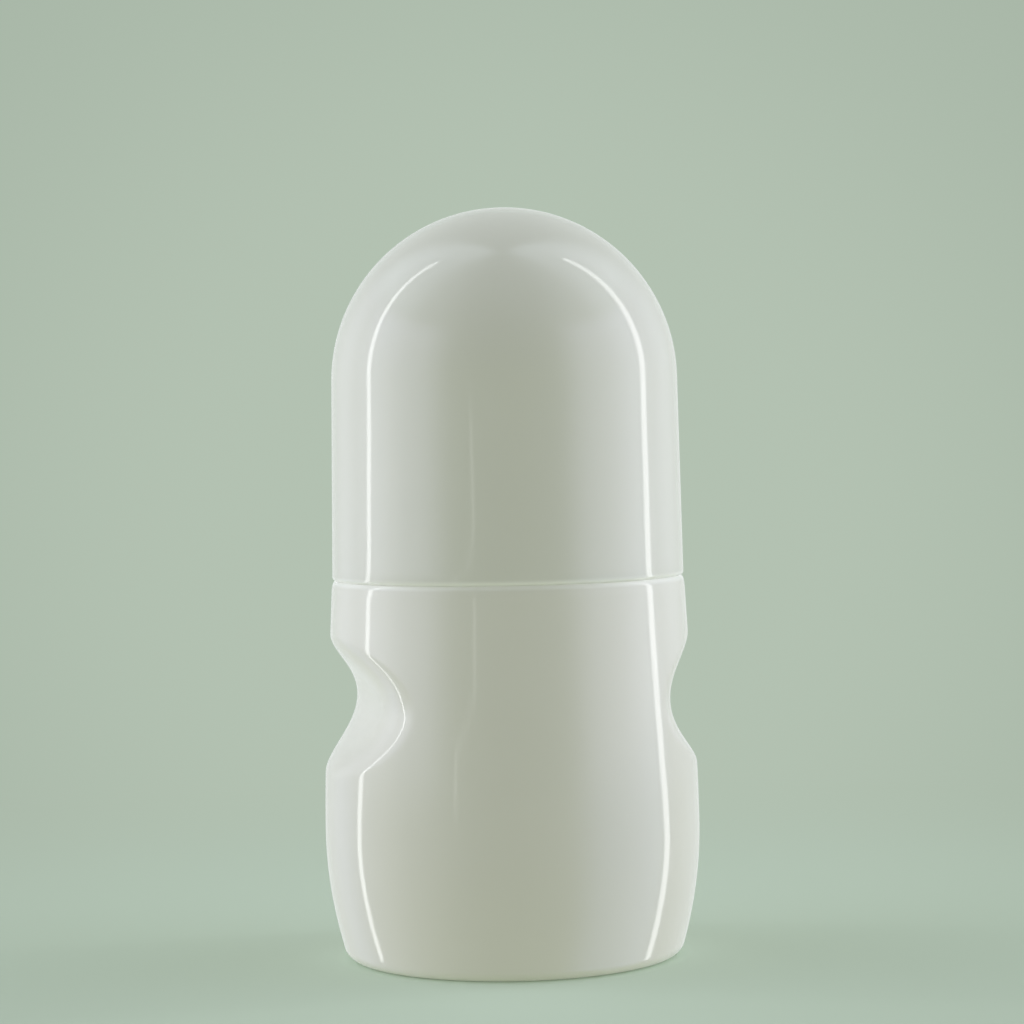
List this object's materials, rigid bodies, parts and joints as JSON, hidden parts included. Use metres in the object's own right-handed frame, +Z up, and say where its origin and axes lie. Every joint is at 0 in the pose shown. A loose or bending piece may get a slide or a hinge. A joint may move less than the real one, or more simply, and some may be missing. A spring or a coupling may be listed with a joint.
{
  "type": "roll-on bottle",
  "caption": "Roll-on toiletry bottle with scooped finger grips, a ball held in a plug-in housing and a domed screw cap with a loose liner.",
  "frame": {"origin": "centre of the bottle's base, on the surface it stands on", "axes": "+Z up along the bottle's axis from its base to the cap's crown, finger grips facing +X and -X, front towards -Y"},
  "size_m": [0.045, 0.045, 0.0899],
  "materials": {
    "bottle": "gloss",
    "ball_housing": "satin",
    "roller_ball": "gloss",
    "cap_liner": "matte",
    "cap": "gloss"
  },
  "bodies": {
    "bottle_body": {"bottle": "bottle", "ball_housing": "ball_housing"},
    "ball_body": {"roller_ball": "roller_ball"},
    "liner_body": {"cap_liner": "cap_liner"},
    "cap_body": {"cap": "cap"}
  },
  "joints": [
    {"name": "cap_rise", "type": "slide", "parent": "bottle_body", "child": "liner_body", "axis": [0, 0, 1], "range_m": [0, 0.0421]},
    {"name": "cap_turn", "type": "hinge", "parent": "liner_body", "child": "cap_body", "pos_m": [0, 0, 0], "axis": [0, 0, 1], "range_deg": [0, 1680]},
    {"name": "ball_roll", "type": "hinge", "parent": "bottle_body", "child": "ball_body", "pos_m": [0, 0, 0.0692], "axis": [1, 0, 0], "continuous": true}
  ],
  "couplings": [
    {"joint": "cap_rise", "follows": "cap_turn", "m_per_rad": 0.0014324}
  ]
}
